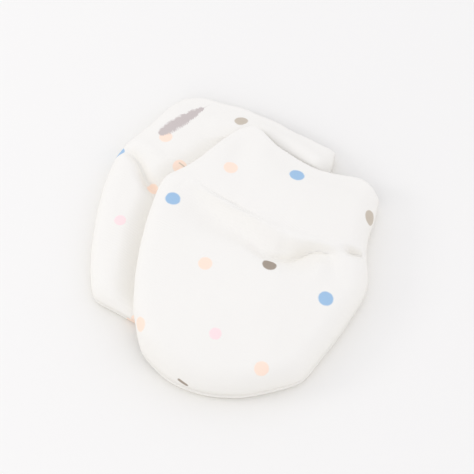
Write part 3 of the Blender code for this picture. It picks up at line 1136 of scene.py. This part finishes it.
class MITTEN_OT_lower(bpy.types.Operator):
    """Lay the first mitten on the ground, pressed down beneath the second"""

    bl_idname = "mitten.lower"
    bl_label = "Lower mitten"

    def execute(self, context):
        lower, upper, centre = both_mittens()
        lay_mitten(
            lower,
            lambda points, relief: lower_levels(lower, upper, points, relief),
            {"top_panel": LOWER_TOP_DOTS, "under_panel": LOWER_UNDER_DOTS},
            LOWER_STROKES,
            {"top_panel": LOWER_PLUME},
            context.scene.mitten_cloth, centre)
        return {"FINISHED"}


class MITTEN_OT_upper(bpy.types.Operator):
    """Drape the second mitten over the first one's edge"""

    bl_idname = "mitten.upper"
    bl_label = "Upper mitten"

    def execute(self, context):
        lower, upper, centre = both_mittens()
        lay_mitten(
            upper,
            lambda points, relief: upper_levels(upper, lower, points, relief),
            {"top_panel": UPPER_TOP_DOTS, "under_panel": UPPER_UNDER_DOTS},
            UPPER_STROKES,
            {"under_panel": UNDER_PLUME},
            context.scene.mitten_cloth, centre)
        return {"FINISHED"}


# The camera looks down at the pair from the fingertips' side. It is turned and raised by these degrees, has
# a lens of this many millimetres and is aimed at this point.
CAMERA_TURN = 27.0
CAMERA_RISE = 60.0
CAMERA_LENS = 100.0
CAMERA_AIM = (0.0, 0.0, 6.0)

# The soft box stands at the left: its direction from the pair, its distance and its side's length in metres.
KEY_DIRECTION = (-0.891, -0.454, 0.554)
KEY_DISTANCE = 0.75
KEY_SIDE = 0.2

# The paper floor's side, in metres.
FLOOR_SIDE = 4.0

# The fill light is cool. Its strength is the middle one, and grows as the slope says towards the right, the
# back and the top.
SKY_COLOUR = "#F7F8FF"
SKY_MIDDLE = 0.88
SKY_SLOPE = (0.045, 0.03, 0.15)


class MITTEN_OT_stage(bpy.types.Operator):
    """Set the paper floor, the soft light and the camera"""

    bl_idname = "mitten.stage"
    bl_label = "Studio stage"

    def execute(self, context):
        settings = context.scene.mitten_stage
        self.lay_floor(settings)
        self.hang_lights(context, settings)
        self.stand_camera(context, settings)
        context.scene.view_settings.view_transform = "Standard"
        context.scene.view_settings.look = "None"
        return {"FINISHED"}

    def lay_floor(self, settings):
        bm = bmesh.new()
        bmesh.ops.create_grid(bm, x_segments=1, y_segments=1, size=FLOOR_SIDE / 2.0)
        mesh = bpy.data.meshes.new("studio_floor")
        bm.to_mesh(mesh)
        bm.free()
        # White paper sweep: matt, with no texture that would show.
        paper = bpy.data.materials.new("matt_white_paper")
        paper.use_nodes = True
        shader = paper.node_tree.nodes["Principled BSDF"]
        shader.inputs["Base Color"].default_value = tuple(settings.floor_colour) + (1.0,)
        shader.inputs["Roughness"].default_value = 1.0
        shader.inputs["Specular IOR Level"].default_value = 0.0
        mesh.materials.append(paper)
        floor = bpy.data.objects.new("studio_floor", mesh)
        bpy.context.scene.collection.objects.link(floor)

    def hang_lights(self, context, settings):
        world = bpy.data.worlds.new("studio_fill")
        context.scene.world = world
        world.use_nodes = True
        tree = world.node_tree
        direction = add_node(tree, "ShaderNodeTexCoord")
        rise = add_node(tree, "ShaderNodeVectorMath", {0: direction, 1: SKY_SLOPE}, "Value",
                        operation="DOT_PRODUCT")
        strength = add_node(tree, MATH, {0: rise, 1: settings.sky, 2: settings.sky * SKY_MIDDLE},
                            operation="MULTIPLY_ADD")
        background = tree.nodes["Background"]
        background.inputs["Color"].default_value = linear(SKY_COLOUR)
        tree.links.new(strength, background.inputs["Strength"])
        box = bpy.data.lights.new("soft_box", "AREA")
        box.shape = "SQUARE"
        box.size = KEY_SIDE
        box.energy = settings.key_power
        holder = bpy.data.objects.new("soft_box", box)
        away = Vector(KEY_DIRECTION).normalized()
        holder.location = away * KEY_DISTANCE
        holder.rotation_euler = away.to_track_quat("Z", "Y").to_euler()
        context.scene.collection.objects.link(holder)

    def stand_camera(self, context, settings):
        turn, rise = math.radians(CAMERA_TURN), math.radians(CAMERA_RISE)
        back = Vector((
            math.sin(turn) * math.cos(rise),
            -math.cos(turn) * math.cos(rise),
            math.sin(rise),
        ))
        lens = bpy.data.cameras.new("studio_camera")
        lens.lens = CAMERA_LENS
        lens.clip_start = 0.01
        camera = bpy.data.objects.new("studio_camera", lens)
        centre = both_mittens()[2]
        camera.location = Vector(CAMERA_AIM - centre) * MM + back * settings.camera_distance
        camera.rotation_euler = back.to_track_quat("Z", "Y").to_euler()
        context.scene.collection.objects.link(camera)
        context.scene.camera = camera


class MITTEN_PT_sidebar(bpy.types.Panel):
    """Shows the cloth and stage settings and a button for each step that makes the pieces"""

    bl_idname = "MITTEN_PT_sidebar"
    bl_label = "Newborn mittens"
    bl_space_type = "VIEW_3D"
    bl_region_type = "UI"
    bl_category = "Mittens"

    def draw(self, context):
        for settings in (context.scene.mitten_cloth, context.scene.mitten_stage):
            column = self.layout.column(align=True)
            for name in settings.bl_rna.properties.keys():
                if name not in {"rna_type", "name"}:
                    column.prop(settings, name)
        for operator in OPERATORS:
            self.layout.operator(operator.bl_idname)


SETTINGS = (MittenClothSettings, MittenStageSettings)
OPERATORS = (MITTEN_OT_lower, MITTEN_OT_upper, MITTEN_OT_stage)
CLASSES = (*SETTINGS, *OPERATORS, MITTEN_PT_sidebar)


def register():
    for item in CLASSES:
        bpy.utils.register_class(item)
    bpy.types.Scene.mitten_cloth = PointerProperty(type=MittenClothSettings)
    bpy.types.Scene.mitten_stage = PointerProperty(type=MittenStageSettings)


def unregister():
    del bpy.types.Scene.mitten_stage
    del bpy.types.Scene.mitten_cloth
    for item in reversed(CLASSES):
        bpy.utils.unregister_class(item)


def main():
    register()
    bpy.ops.mitten.stage()
    bpy.ops.mitten.lower()
    bpy.ops.mitten.upper()


if __name__ == "__main__":
    main()
